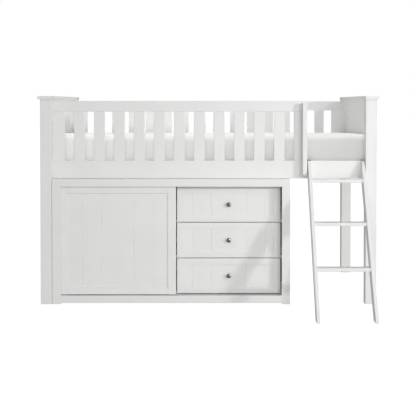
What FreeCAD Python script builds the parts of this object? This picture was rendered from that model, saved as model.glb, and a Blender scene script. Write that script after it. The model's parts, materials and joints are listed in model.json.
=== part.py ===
import FreeCAD, Part
import math
import os

# Low loft bed in painted wood: a raised single bed with slatted guards, a slanted ladder that
# hooks over the side rail, and a storage unit with a sliding door and three drawers below it.
# X runs along the bed, Y from the posts' front faces to the back, Z up; sizes in millimetres.

Vector = FreeCAD.Vector

# Mattress and the room round it
mattress_length = 1905.0
mattress_width = 965.0
mattress_height = 216.0
mattress_back_fall = 22.0
mattress_crown = 5.0
mattress_end_crown = 2.0
mattress_end_round = 12.0
mattress_draw_in = 7.0
mattress_edge_radius = 45.0
mattress_side_bulge = 3.0
mattress_end_turns = (0, 20, 45, 70, 90)
mattress_station_shares = (0.75, 0.4)
mattress_end_room = 10.5
mattress_side_room = 5.0

# Posts, caps and end frames
post_width = 68.0
post_depth = 68.0
post_height = 1260.0
cap_thickness = 20.0
cap_outer_overhang = 15.0
cap_inner_overhang = 3.0
cap_front_overhang = 12.0
end_rail_thickness = 44.0
end_top_rail_height = 76.0
end_plank_thickness = 18.0
end_plank_count = 9

# Side rails and slatted guards
rail_bottom = 772.0
rail_height = 110.0
rail_thickness = 22.0
guard_rail_height = 66.0
guard_top_drop = 10.0
guard_stile_width = 74.0
guard_end_stile_width = 50.0
guard_slat_width = 66.0
guard_slat_thickness = 16.0
front_slat_count = 11
back_slat_count = 14

# Upright that ends the front guard beside the ladder opening
ladder_opening = 358.0
upright_width = 28.0
upright_top_drop = 24.0
upright_bottom_rise = 25.0

# Rail bolts and barrel nuts
bolt_radius = 4.0
bolt_head_radius = 6.5
bolt_head_height = 8.0
bolt_head_sink = 2.0
bolt_end_length = 8.0
nut_radius = 6.0
nut_length = 18.0
nut_setback = 42.0
bore_clearance = 0.25

# Bed base
cleat_width = 25.0
cleat_height = 36.0
bed_slat_width = 90.0
bed_slat_thickness = 20.0
bed_slat_count = 13
bed_slat_margin = 20.0
bed_slat_end_clearance = 1.0
soft_clearance = 0.3

# Ladder
ladder_reach = 489.0
ladder_upright_clearance = 6.0
ladder_post_clearance = 2.0
ladder_rest_clearance = 0.3
stringer_thickness = 20.0
stringer_depth = 80.0
stringer_top_flat = 20.0
tread_count = 3
tread_spacing = 245.0
top_tread_drop = 110.0
tread_depth = 60.0
tread_thickness = 20.0
housing_depth = 6.0
hook_width = 16.0
hook_thickness = 3.0
hook_lip = 26.0
hook_clearance = 0.3
hook_plate_margin = 2.0

# Storage unit carcass and face frame
unit_post_gap = 2.0
unit_rail_gap = 0.8
unit_ladder_gap = 104.0
unit_depth = 560.0
face_thickness = 16.0
unit_left_stile_width = 53.0
unit_right_stile_width = 51.0
unit_top_rail_height = 47.7
unit_bottom_rail_height = 44.0
unit_toe_gap = 9.5
floor_drop = 3.0
panel_thickness = 18.0
back_thickness = 6.0
divider_thickness = 22.0
shelf_height = 395.0
shelf_clearance = 1.0
shelf_pin_radius = 2.5
shelf_pin_length = 16.0
shelf_pin_inset = 40.0
shelf_pin_clearance = 0.1

# Sliding door, its track and guides
door_thickness = 18.0
door_guide_clearance = 0.5
door_face_clearance = 1.5
door_overlap = 11.0
door_drawer_gap = 5.0
door_floor_gap = 6.5
door_lift_room = 8.0
door_stile_width = 50.0
door_top_rail_height = 64.0
door_bottom_rail_height = 42.0
door_plank_thickness = 9.0
door_plank_setback = 6.0
door_plank_seat = 7.0
door_centre_plank = 200.0
door_next_plank = 120.0
guide_strip_thickness = 12.0
guide_strip_height = 18.0
track_width = 12.0
track_thickness = 2.0
roller_radius = 14.0
roller_width = 7.0
roller_inset = 90.0
roller_clearance = 0.3
roller_cheek_gap = 0.5
roller_edge_ease = 0.9
axle_radius = 2.5
bracket_wall = 2.0
bracket_length = 34.0
bracket_height = 30.0

# Drawers
drawer_names = ("bottom", "middle", "top")
drawer_count = len(drawer_names)
drawer_front_width = 641.0
drawer_front_thickness = 20.0
drawer_side_gap = 2.0
drawer_divider_gap = 8.0
drawer_between_gap = 4.0
drawer_bottom_gap = 3.5
drawer_top_gap = 5.5
drawer_back_room = 17.0
drawer_border_side = 42.0
drawer_border_top = 37.0
drawer_border_bottom = 32.0
drawer_field_recess = 6.0
drawer_centre_plank = 216.0
drawer_next_plank = 115.0
box_board = 12.0
box_bottom_thickness = 6.0
box_bottom_rise = 10.0
runner_width = 25.0
runner_height = 20.0
drawer_stop_clearance = 0.5
runner_clearance = 0.3
kicker_clearance = 2.0
drawer_guide_width = 36.0
drawer_guide_height = 40.0
drawer_guide_setback = 60.0
knob_radius = 14.5
knob_projection = 22.0
knob_base_radius = 9.0
knob_base_height = 2.5
knob_neck_radius = 6.0
knob_rim = 2.0
knob_flare = 6.0
knob_dome = 7.0
knob_door_clearance = 3.0

# Plank joints and eased edges
vee_depth = 2.5
tongue_thickness = 3.0
tongue_length = 5.0
tongue_clearance = 0.5
least_edge_plank = 30.0
edge_ease = 2.0
edge_ease_share = 0.25
grain_match = 0.99

# Frame planes worked out from the sizes above
half_inner = mattress_length / 2 + mattress_end_room
half_outer = half_inner + post_width
bed_depth = mattress_width + 2 * mattress_side_room + 2 * post_depth
rail_front = post_depth - rail_thickness
rail_top = rail_bottom + rail_height
guard_top = post_height - guard_top_drop
guard_bottom = guard_top - guard_rail_height
upright_right = half_inner - ladder_opening
upright_left = upright_right - upright_width
base_top = rail_bottom + cleat_height + bed_slat_thickness
mattress_bottom = base_top + soft_clearance

# Ladder planes
ladder_left = upright_right + ladder_upright_clearance
ladder_right = half_inner - ladder_post_clearance
ladder_back = rail_front - ladder_rest_clearance
ladder_top = rail_top + hook_clearance
ladder_slope = (ladder_reach + ladder_back - stringer_top_flat) / ladder_top

# Storage unit planes
unit_left = -half_inner + unit_post_gap
unit_right = upright_right - unit_ladder_gap
unit_inner_left = unit_left + panel_thickness
unit_inner_right = unit_right - panel_thickness
unit_height = rail_bottom - unit_rail_gap
unit_ceiling = unit_height - panel_thickness
unit_back_face = unit_depth - back_thickness
opening_left = unit_left + unit_left_stile_width
opening_right = unit_right - unit_right_stile_width
opening_bottom = unit_toe_gap + unit_bottom_rail_height
opening_top = unit_height - unit_top_rail_height
floor_top = opening_bottom - floor_drop

# Door and drawer planes
door_front = face_thickness + door_face_clearance
door_back = door_front + door_thickness
guide_front = door_back + door_guide_clearance
divider_front = guide_front + guide_strip_thickness
drawer_face = door_back + knob_door_clearance + knob_projection - drawer_field_recess
drawer_front_back = drawer_face + drawer_front_thickness
drawer_box_back = unit_back_face - drawer_back_room
drawer_right = unit_inner_right - drawer_guide_width - drawer_side_gap
drawer_left = drawer_right - drawer_front_width
divider_right = drawer_left - drawer_divider_gap
divider_left = divider_right - divider_thickness
door_left = opening_left - door_overlap
door_right = drawer_left - door_drawer_gap
door_bottom = floor_top + door_floor_gap
door_top = unit_ceiling - door_lift_room
axle_height = floor_top + track_thickness + roller_clearance + roller_radius
drawer_gaps = drawer_bottom_gap + drawer_top_gap + (drawer_count - 1) * drawer_between_gap
drawer_height = (opening_top - opening_bottom - drawer_gaps) / drawer_count
drawer_pitch = drawer_height + drawer_between_gap
runner_drop = drawer_bottom_gap + floor_drop

# The origin is on the floor, midway between the ladder's feet and the back of the caps
origin_y = (bed_depth + cap_front_overhang - ladder_reach) / 2


def eased(solid, grain, ease):
    """The solid with its edges along the grain chamfered."""
    edges = [edge for edge in solid.Edges if abs(edge.tangentAt(0).dot(grain)) > grain_match]
    return solid.makeChamfer(ease, edges)


def board(x, y, z):
    """A board between the (low, high) pairs x, y and z, with its long edges eased."""
    sizes = [pair[1] - pair[0] for pair in (x, y, z)]
    solid = Part.makeBox(*sizes, Vector(x[0], y[0], z[0]))
    grain = [Vector(1, 0, 0), Vector(0, 1, 0), Vector(0, 0, 1)][sizes.index(max(sizes))]
    return eased(solid, grain, min(edge_ease, min(sizes) * edge_ease_share))


def block(x, y, z):
    """A plain square-edged block, for cutting and for thin strips."""
    return Part.makeBox(x[1] - x[0], y[1] - y[0], z[1] - z[0], Vector(x[0], y[0], z[0]))


def rod(radius, start, end):
    """A round bar between two points."""
    axis = end.sub(start)
    return Part.makeCylinder(radius, axis.Length, start, axis)


def prism(points, sweep):
    """A closed outline of points swept along a vector."""
    outline = Part.makePolygon(list(points) + [points[0]])
    return Part.Face(outline).extrude(sweep)


def side_prism(outline, x):
    """An outline of (y, z) points swept across the (low, high) pair x."""
    return prism([Vector(x[0], y, z) for y, z in outline], Vector(x[1] - x[0], 0, 0))


def mirrored(pair):
    """The same stretch on the other end of the bed."""
    return (-pair[1], -pair[0])


def from_back(pair):
    """The same stretch of depth, counted from the back of the posts."""
    return (bed_depth - pair[1], bed_depth - pair[0])


def cut_all(solid, tools):
    """The solid with each tool taken out of it."""
    for tool in tools:
        solid = solid.cut(tool)
    return solid


def spaced(first, last, width, count):
    """Stretches of one width set between two edges with equal gaps, the outer gaps included."""
    gap = (last - first - count * width) / (count + 1)
    starts = [first + gap + step * (width + gap) for step in range(count)]
    return [(start, start + width) for start in starts]


def plank_outline(start, end, faces, has_groove, has_tongue):
    """A vee-jointed plank's section: a groove at its start and a tongue at its end."""
    near, far = faces
    low = (near + far - tongue_thickness) / 2
    high = (near + far + tongue_thickness) / 2
    groove = start + tongue_length + tongue_clearance
    points = [(start + vee_depth, near), (end - vee_depth, near), (end, near + vee_depth)]
    if has_tongue:
        tip = end + tongue_length
        points += [(end, low), (tip, low), (tip, high), (end, high)]
    points += [(end, far - vee_depth), (end - vee_depth, far)]
    points += [(start + vee_depth, far), (start, far - vee_depth)]
    if has_groove:
        points += [(start, high), (groove, high), (groove, low), (start, low)]
    return points + [(start, near + vee_depth)]


def plank_row(edges, faces, z, place):
    """Tongued planks side by side; edges are the joints and place turns a section point to X, Y."""
    planks = []
    last = len(edges) - 2
    for index in range(len(edges) - 1):
        section = plank_outline(edges[index], edges[index + 1], faces, index > 0, index < last)
        points = [Vector(*place(along, across), z[0]) for along, across in section]
        planks.append(prism(points, Vector(0, 0, z[1] - z[0])))
    return planks


def bolt_places():
    """Each rail bolt as its end of the bed and the middle of its rail's thickness and height."""
    middle = (rail_front + post_depth) / 2
    height = (rail_bottom + rail_top) / 2
    return [(end, y, height) for end in (-1, 1) for y in (middle, bed_depth - middle)]


def bolt_seat():
    """How far from the bed's middle a bolt head seats inside its post."""
    return half_outer - bolt_head_sink - bolt_head_height


def bolt_tip():
    """How far from the bed's middle a bolt ends, past its barrel nut."""
    return half_inner - nut_setback - nut_radius - bolt_end_length


def bolt_holes():
    """Shank holes and counterbores for every rail bolt, as cutting tools."""
    holes = []
    for end, y, z in bolt_places():
        tip = Vector(end * (bolt_tip() - bore_clearance), y, z)
        seat = Vector(end * bolt_seat(), y, z)
        mouth = Vector(end * (half_outer + bolt_head_sink), y, z)
        holes.append(rod(bolt_radius + bore_clearance, tip, mouth))
        holes.append(rod(bolt_head_radius + bore_clearance, seat, mouth))
    return holes


def nut_stretch(y):
    """The depth that a barrel nut takes up, from the mattress side of its rail."""
    if y < bed_depth / 2:
        return (post_depth - nut_length, post_depth)
    return (bed_depth - post_depth, bed_depth - post_depth + nut_length)


def rail_bolts():
    """Bolts that run through the posts into the side rails."""
    bolts = []
    for end, y, z in bolt_places():
        seat = Vector(end * bolt_seat(), y, z)
        top = Vector(end * (bolt_seat() + bolt_head_height), y, z)
        tip = Vector(end * bolt_tip(), y, z)
        bolts.append(rod(bolt_head_radius, seat, top).fuse(rod(bolt_radius, tip, seat)).removeSplitter())
    return bolts


def barrel_nuts(extra=0.0):
    """Cross nuts inside the side rails; with an extra radius they are the holes for the nuts."""
    nuts = []
    for end, y, z in bolt_places():
        x = end * (half_inner - nut_setback)
        near, far = nut_stretch(y)
        nuts.append(rod(nut_radius + extra, Vector(x, near, z), Vector(x, far, z)))
    return nuts


def tapped_nuts():
    """The barrel nuts with their cross holes."""
    holes = []
    for end, y, z in bolt_places():
        x = end * (half_inner - nut_setback)
        reach = 2 * nut_radius
        holes.append(rod(bolt_radius + bore_clearance, Vector(x - reach, y, z), Vector(x + reach, y, z)))
    return [nut.cut(hole) for nut, hole in zip(barrel_nuts(), holes)]


def posts():
    """Four square posts, drilled for the rail bolts."""
    right = (half_inner, half_outer)
    front = (0, post_depth)
    made = {}
    for end, x in (("left", mirrored(right)), ("right", right)):
        for side, y in (("front", front), ("back", from_back(front))):
            made["%s_%s_post" % (end, side)] = [cut_all(board(x, y, (0, post_height)), bolt_holes())]
    return made


def end_frames():
    """Caps, rails and planked panels between the posts at the two ends."""
    rail_x = half_inner + (post_width - end_rail_thickness) / 2
    plank_x = half_inner + (post_width - end_plank_thickness) / 2
    faces = (plank_x, plank_x + end_plank_thickness)
    rail = (rail_x, rail_x + end_rail_thickness)
    cap = (half_inner - cap_inner_overhang, half_outer + cap_outer_overhang)
    cap_y = (-cap_front_overhang, bed_depth + cap_front_overhang)
    span = (post_depth, bed_depth - post_depth)
    top_rail_bottom = post_height - end_top_rail_height
    plank_width = (span[1] - span[0]) / end_plank_count
    edges = [span[0] + step * plank_width for step in range(end_plank_count + 1)]
    made = {"end_top_rails": [], "end_bottom_rails": []}
    for end, turn in (("left", mirrored), ("right", tuple)):
        made[end + "_end_cap"] = [board(turn(cap), cap_y, (post_height, post_height + cap_thickness))]
        made["end_top_rails"].append(board(turn(rail), span, (top_rail_bottom, post_height)))
        made["end_bottom_rails"].append(board(turn(rail), span, (rail_bottom, rail_top)))
        panel = plank_row(edges, turn(faces), (rail_top, top_rail_bottom), lambda y, x: (x, y))
        made[end + "_end_planks"] = panel
    return made


def side_rails():
    """The two long rails that carry the bed, drilled for their bolts and nuts."""
    span = (-half_inner, half_inner)
    front = (rail_front, post_depth)
    height = (rail_bottom, rail_top)
    tools = bolt_holes() + barrel_nuts(bore_clearance)
    return {
        "front_side_rail": [cut_all(board(span, front, height), tools)],
        "back_side_rail": [cut_all(board(span, from_back(front), height), tools)],
    }


def guard(span, y, stile_widths, slat_count):
    """One slatted guard on a side rail: its top rail, end stiles and slats."""
    height = (rail_top, guard_bottom)
    slat_edges = (span[0] + stile_widths[0], span[1] - stile_widths[1])
    slat_y = ((y[0] + y[1] - guard_slat_thickness) / 2, (y[0] + y[1] + guard_slat_thickness) / 2)
    top_rail = board(span, y, (guard_bottom, guard_top))
    stiles = [board((span[0], slat_edges[0]), y, height), board((slat_edges[1], span[1]), y, height)]
    stretches = spaced(slat_edges[0], slat_edges[1], guard_slat_width, slat_count)
    return [top_rail], stiles, [board(x, slat_y, height) for x in stretches]


def guards():
    """The front guard, which stops at the ladder opening, and the full back guard."""
    front_y = (rail_front, post_depth)
    front_stiles = (guard_stile_width, guard_end_stile_width)
    back_stiles = (guard_stile_width, guard_stile_width)
    front = guard((-half_inner, upright_left), front_y, front_stiles, front_slat_count)
    back = guard((-half_inner, half_inner), from_back(front_y), back_stiles, back_slat_count)
    made = {}
    for side, pieces in (("front", front), ("back", back)):
        for name, solids in zip(("top_rail", "stiles", "slats"), pieces):
            made["%s_guard_%s" % (side, name)] = solids
    return made


def guard_upright():
    """The upright beside the ladder: notched over the side rail, proud of the guard in front."""
    top = post_height - upright_top_drop
    bottom = rail_bottom + upright_bottom_rise
    outline = [(0, bottom), (rail_front, bottom), (rail_front, rail_top)]
    outline += [(post_depth, rail_top), (post_depth, top), (0, top)]
    return [eased(side_prism(outline, (upright_left, upright_right)), Vector(0, 0, 1), edge_ease)]


def bed_base():
    """Cleats along the rails and the slats that lie on them."""
    cleat_y = (post_depth, post_depth + cleat_width)
    cleat_z = (rail_bottom, rail_bottom + cleat_height)
    span = (-half_inner, half_inner)
    inset = post_depth + bed_slat_end_clearance
    first = -half_inner + bed_slat_margin
    step = (2 * half_inner - 2 * bed_slat_margin - bed_slat_width) / (bed_slat_count - 1)
    slats = []
    for index in range(bed_slat_count):
        x = (first + index * step, first + index * step + bed_slat_width)
        slats.append(board(x, (inset, bed_depth - inset), (cleat_z[1], base_top)))
    cleats = [board(span, y, cleat_z) for y in (cleat_y, from_back(cleat_y))]
    return {"slat_cleats": cleats, "bed_slats": slats}


def mattress_section(x, inset):
    """Section across the mattress at x: round edges, full sides, a crowned top that falls back."""
    share = 1 - (2 * x / mattress_length) ** 2
    half = mattress_width / 2 - mattress_side_bulge - mattress_draw_in * share - inset
    low = mattress_bottom + inset
    front = mattress_bottom + mattress_height - inset
    back = front - mattress_back_fall
    crown = (front + back) / 2 + mattress_end_crown + (mattress_crown - mattress_end_crown) * share
    radius = mattress_edge_radius
    bend = radius * (1 - math.sqrt(0.5))
    middle_y = bed_depth / 2
    edges = []

    def point(y, z):
        return Vector(x, middle_y + y, z)

    def arc(start, through, end):
        edges.append(Part.Arc(point(*start), point(*through), point(*end)).toShape())

    edges.append(Part.makeLine(point(radius - half, low), point(half - radius, low)))
    arc((half - radius, low), (half - bend, low + bend), (half, low + radius))
    arc((half, low + radius), (half + mattress_side_bulge, (low + back) / 2), (half, back - radius))
    arc((half, back - radius), (half - bend, back - bend), (half - radius, back))
    arc((half - radius, back), (0, crown), (radius - half, front))
    arc((radius - half, front), (bend - half, front - bend), (-half, front - radius))
    arc((-half, front - radius), (-half - mattress_side_bulge, (low + front) / 2), (-half, low + radius))
    arc((-half, low + radius), (bend - half, low + bend), (radius - half, low))
    return Part.Wire(edges)


def mattress():
    """The sheeted mattress: sections along the bed, drawn in at mid length and round at the ends."""
    half = mattress_length / 2
    stations = []
    for degrees in mattress_end_turns:
        turn = math.radians(degrees)
        x = half - mattress_end_round * (1 - math.cos(turn))
        stations.append((x, mattress_end_round * (1 - math.sin(turn))))
    stations += [(half * share, 0.0) for share in mattress_station_shares]
    left = [(-x, inset) for x, inset in stations]
    rows = left + [(0.0, 0.0)] + stations[::-1]
    return [Part.makeLoft([mattress_section(x, inset) for x, inset in rows], True, True)]


def tread_solids():
    """Flat treads whose ends are housed in the stringers."""
    inset = stringer_thickness - housing_depth
    x = (ladder_left + inset, ladder_right - inset)
    treads = []
    for index in range(tread_count):
        top = rail_top - top_tread_drop - index * tread_spacing
        nose = ladder_slope * top - ladder_reach
        treads.append(board(x, (nose, nose + tread_depth), (top - tread_thickness, top)))
    return treads


def stringer(x):
    """One slanted stringer, cut level at the floor and plumb against the side rail."""
    heel = stringer_depth - ladder_reach
    meet = (ladder_back - heel) / ladder_slope
    outline = [(-ladder_reach, 0), (heel, 0), (ladder_back, meet), (ladder_back, ladder_top)]
    outline.append((ladder_back - stringer_top_flat, ladder_top))
    grain = Vector(0, ladder_slope, 1).normalize()
    return cut_all(eased(side_prism(outline, x), grain, edge_ease), tread_solids())


def ladder_hook(middle):
    """A flat steel hook on a stringer's top that drops behind the side rail."""
    front = ladder_back - stringer_top_flat + hook_plate_margin
    lip = post_depth + hook_clearance
    back = lip + hook_thickness
    low = ladder_top - hook_lip
    high = ladder_top + hook_thickness
    outline = [(front, ladder_top), (lip, ladder_top), (lip, low), (back, low), (back, high), (front, high)]
    return side_prism(outline, (middle - hook_width / 2, middle + hook_width / 2))


def ladder():
    """Two stringers, their treads and the hooks."""
    left = (ladder_left, ladder_left + stringer_thickness)
    right = (ladder_right - stringer_thickness, ladder_right)
    return {
        "ladder_left_stringer": [stringer(left)],
        "ladder_right_stringer": [stringer(right)],
        "ladder_treads": tread_solids(),
        "ladder_hooks": [ladder_hook(sum(pair) / 2) for pair in (left, right)],
    }


def face_frame():
    """The storage unit's front frame, flush with the posts."""
    y = (0, face_thickness)
    rail = (opening_left, opening_right)
    return {
        "unit_left_stile": [board((unit_left, opening_left), y, (0, unit_height))],
        "unit_right_stile": [board((opening_right, unit_right), y, (0, unit_height))],
        "unit_top_rail": [board(rail, y, (opening_top, unit_height))],
        "unit_bottom_rail": [board(rail, y, (unit_toe_gap, opening_bottom))],
    }


def shelf_pin_places():
    """Each shelf pin as the panel face that holds it, its depth and its height."""
    z = shelf_height - shelf_pin_radius - shelf_pin_clearance
    depths = (divider_front + shelf_pin_inset, unit_back_face - shelf_pin_inset)
    return [Vector(x, y, z) for x in (unit_inner_left, divider_left) for y in depths]


def shelf_pin_solids(extra):
    """Shelf pins half sunk in the panels; with an extra radius they are the holes for the pins."""
    half = Vector(shelf_pin_length / 2, 0, 0)
    return [rod(shelf_pin_radius + extra, place.sub(half), place.add(half)) for place in shelf_pin_places()]


def carcass():
    """Sides, divider, top, floor, back and shelf of the storage unit."""
    depth = (face_thickness, unit_depth)
    inner = (unit_inner_left, unit_inner_right)
    inner_depth = (divider_front, unit_back_face)
    floor_z = (floor_top - panel_thickness, floor_top)
    holes = shelf_pin_solids(shelf_pin_clearance)
    left = board((unit_left, unit_inner_left), depth, (0, unit_ceiling))
    divider = board((divider_left, divider_right), inner_depth, (floor_top, unit_ceiling))
    shelf_x = (unit_inner_left + shelf_clearance, divider_left - shelf_clearance)
    shelf_y = (divider_front, unit_back_face - shelf_clearance)
    return {
        "unit_left_side": [cut_all(left, holes)],
        "unit_right_side": [board((unit_inner_right, unit_right), depth, (0, unit_ceiling))],
        "unit_divider": [cut_all(divider, holes)],
        "unit_top": [board((unit_left, unit_right), depth, (unit_ceiling, unit_height))],
        "unit_floor": [board(inner, (face_thickness, unit_back_face), floor_z)],
        "unit_back": [block(inner, (unit_back_face, unit_depth), (floor_z[0], unit_ceiling))],
        "unit_shelf": [board(shelf_x, shelf_y, (shelf_height, shelf_height + panel_thickness))],
        "shelf_pins": shelf_pin_solids(0.0),
    }


def door_running_gear():
    """The steel strip under the door's rollers, and the strips behind the door that guide it."""
    x = (unit_inner_left, unit_inner_right)
    low_x = (unit_inner_left, divider_right)
    middle = (door_front + door_back) / 2
    y = (guide_front, guide_front + guide_strip_thickness)
    track_y = (middle - track_width / 2, middle + track_width / 2)
    low_strip = board(low_x, y, (floor_top, floor_top + guide_strip_height))
    high_strip = board(x, y, (unit_ceiling - guide_strip_height, unit_ceiling))
    return {
        "door_track": [block(x, track_y, (floor_top, floor_top + track_thickness))],
        "door_guide_strips": [low_strip, high_strip],
    }


def roller_places():
    """The middles of the door's two rollers."""
    middle = (door_front + door_back) / 2
    return [Vector(x, middle, axle_height) for x in (door_left + roller_inset, door_right - roller_inset)]


def bracket_envelope(place):
    """The block of space that one roller bracket takes up in the door's bottom rail."""
    half_width = roller_width / 2 + roller_cheek_gap + bracket_wall
    x = (place.x - bracket_length / 2, place.x + bracket_length / 2)
    y = (place.y - half_width, place.y + half_width)
    return block(x, y, (door_bottom, door_bottom + bracket_height))


def roller_bracket(place):
    """A steel channel let into the door's bottom edge, with the axle across it."""
    half_gap = roller_width / 2 + roller_cheek_gap
    x = (place.x - bracket_length / 2, place.x + bracket_length / 2)
    inside_z = (door_bottom, door_bottom + bracket_height - bracket_wall)
    channel = bracket_envelope(place).cut(block(x, (place.y - half_gap, place.y + half_gap), inside_z))
    reach = Vector(0, half_gap + bracket_wall / 2, 0)
    return channel.fuse(rod(axle_radius, place.sub(reach), place.add(reach)))


def roller(place):
    """One door roller, turning freely on its axle."""
    half = Vector(0, roller_width / 2, 0)
    wheel = rod(roller_radius, place.sub(half), place.add(half))
    wheel = wheel.makeChamfer(roller_edge_ease, [edge for edge in wheel.Edges if edge.Closed])
    return wheel.cut(rod(axle_radius + roller_clearance, place.sub(half), place.add(half)))


def joint_edges(first, last, centre_plank, next_plank):
    """Plank joints either side of the middle: a wide centre plank, then as many others as fit."""
    middle = (first + last) / 2
    room = (last - first) / 2 - least_edge_plank
    offsets = []
    offset = centre_plank / 2
    while offset < room:
        offsets.append(offset)
        offset += next_plank
    left = [middle - offset for offset in reversed(offsets)]
    right = [middle + offset for offset in offsets]
    return [first] + left + right + [last]


def sliding_door():
    """A framed door with tongued planks seated in the grooves of its frame."""
    y = (door_front, door_back)
    plank_front = door_front + door_plank_setback
    plank_y = (plank_front, plank_front + door_plank_thickness)
    field_x = (door_left + door_stile_width, door_right - door_stile_width)
    field_z = (door_bottom + door_bottom_rail_height, door_top - door_top_rail_height)
    seat_x = (field_x[0] - door_plank_seat, field_x[1] + door_plank_seat)
    seat_z = (field_z[0] - door_plank_seat, field_z[1] + door_plank_seat)
    groove = block(seat_x, plank_y, seat_z)
    full = (door_bottom, door_top)
    mortises = [bracket_envelope(place) for place in roller_places()]
    bottom_rail = board(field_x, y, (door_bottom, field_z[0]))
    edges = joint_edges(seat_x[0], seat_x[1], door_centre_plank, door_next_plank)
    stiles = [board((door_left, field_x[0]), y, full), board((field_x[1], door_right), y, full)]
    rails = [cut_all(bottom_rail, mortises), board(field_x, y, (field_z[1], door_top))]
    return {
        "door_stiles": [stile.cut(groove) for stile in stiles],
        "door_rails": [rail.cut(groove) for rail in rails],
        "door_planks": plank_row(edges, plank_y, seat_z, lambda x, depth: (x, depth)),
        "door_roller_brackets": [roller_bracket(place) for place in roller_places()],
        "door_left_roller": [roller(roller_places()[0])],
        "door_right_roller": [roller(roller_places()[1])],
    }


def drawer_bottom(index):
    """Height of a drawer front's lower edge, counted from the lowest drawer."""
    return opening_bottom + drawer_bottom_gap + index * drawer_pitch


def runner_bottom(index):
    """Height of a runner's lower edge: the lowest lies on the floor, and the highest only guides."""
    return drawer_bottom(index) - runner_drop


def drawer_supports():
    """Wooden runners under and over each drawer, and the guides beside them."""
    y = (drawer_front_back + drawer_stop_clearance, unit_back_face)
    left = (divider_right, divider_right + runner_width)
    right = (drawer_right + drawer_side_gap - runner_width, unit_inner_right)
    runners = []
    for index in range(drawer_count + 1):
        z = (runner_bottom(index), runner_bottom(index) + runner_height)
        runners += [board(left, y, z), board(right, y, z)]
    guide_y = (y[0] + drawer_guide_setback, y[1])
    guide_left = (divider_right, drawer_left - drawer_side_gap)
    guide_right = (drawer_right + drawer_side_gap, unit_inner_right)
    guides = []
    for index in range(drawer_count):
        low = runner_bottom(index) + runner_height
        z = (low, low + drawer_guide_height)
        guides += [board(guide_left, guide_y, z), board(guide_right, guide_y, z)]
    return {"drawer_runners": runners, "drawer_guides": guides}


def drawer_front(index):
    """A drawer front with a sunk field that is scored like planks."""
    bottom = drawer_bottom(index)
    z = (bottom, bottom + drawer_height)
    front = board((drawer_left, drawer_right), (drawer_face, drawer_front_back), z)
    field_x = (drawer_left + drawer_border_side, drawer_right - drawer_border_side)
    field_z = (z[0] + drawer_border_bottom, z[1] - drawer_border_top)
    field_y = drawer_face + drawer_field_recess
    tools = [block(field_x, (drawer_face, field_y), field_z)]
    for x in joint_edges(field_x[0], field_x[1], drawer_centre_plank, drawer_next_plank)[1:-1]:
        corners = [(x - vee_depth, field_y), (x + vee_depth, field_y), (x, field_y + vee_depth)]
        points = [Vector(corner_x, corner_y, field_z[0]) for corner_x, corner_y in corners]
        tools.append(prism(points, Vector(0, 0, field_z[1] - field_z[0])))
    return cut_all(front, tools)


def drawer_box(index):
    """The boards of a drawer's box: two sides, two ends and a bottom."""
    low = runner_bottom(index) + runner_height + runner_clearance
    z = (low, runner_bottom(index + 1) - kicker_clearance)
    y = (drawer_front_back, drawer_box_back)
    inner_x = (drawer_left + box_board, drawer_right - box_board)
    inner_y = (y[0] + box_board, y[1] - box_board)
    bottom_z = (z[0] + box_bottom_rise, z[0] + box_bottom_rise + box_bottom_thickness)
    return [
        board((drawer_left, inner_x[0]), y, z),
        board((inner_x[1], drawer_right), y, z),
        board(inner_x, (y[0], inner_y[0]), z),
        board(inner_x, (inner_y[1], y[1]), z),
        block(inner_x, inner_y, bottom_z),
    ]


def drawer_knob(index):
    """A round turned knob: a base, a slim neck that flares to a narrow rim, and a domed head."""
    seat = drawer_face + drawer_field_recess
    middle = Vector((drawer_left + drawer_right) / 2, seat, drawer_bottom(index) + drawer_height / 2)
    rim_top = knob_projection - knob_dome
    rim_bottom = rim_top - knob_rim
    ball = (knob_radius ** 2 + knob_dome ** 2) / (2 * knob_dome)
    lean = math.asin(knob_radius / ball) / 2

    def at(radius, out):
        return middle.add(Vector(radius, -out, 0))

    outline = Part.makePolygon([
        at(0, knob_projection),
        at(0, 0),
        at(knob_base_radius, 0),
        at(knob_base_radius, knob_base_height),
        at(knob_neck_radius, knob_base_height),
        at(knob_neck_radius, rim_bottom - knob_flare),
        at(knob_radius, rim_bottom),
        at(knob_radius, rim_top),
    ])
    dome_middle = at(ball * math.sin(lean), knob_projection - ball * (1 - math.cos(lean)))
    dome = Part.Arc(at(knob_radius, rim_top), dome_middle, at(0, knob_projection)).toShape()
    face = Part.Face(Part.Wire(outline.Edges + [dome]))
    return face.revolve(middle, Vector(0, 1, 0), 360)


def drawers():
    """Three drawers, one above another."""
    made = {}
    for index, name in enumerate(drawer_names):
        made[name + "_drawer_front"] = [drawer_front(index)]
        made[name + "_drawer_box"] = drawer_box(index)
        made[name + "_drawer_knob"] = [drawer_knob(index)]
    return made


def all_nodes():
    """Every piece of the bed, by name."""
    nodes = {}
    for group in (posts, end_frames, side_rails, guards, bed_base, ladder, face_frame, carcass):
        nodes.update(group())
    for group in (door_running_gear, sliding_door, drawer_supports, drawers):
        nodes.update(group())
    nodes["guard_upright"] = guard_upright()
    nodes["rail_bolts"] = rail_bolts()
    nodes["rail_barrel_nuts"] = tapped_nuts()
    nodes["mattress"] = mattress()
    return nodes


os.makedirs("parts", exist_ok=True)
for node, solids in all_nodes().items():
    shape = solids[0] if len(solids) == 1 else Part.makeCompound(solids)
    shape.translate(Vector(0, -origin_y, 0))
    shape.exportStep("parts/%s.step" % node)
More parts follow.
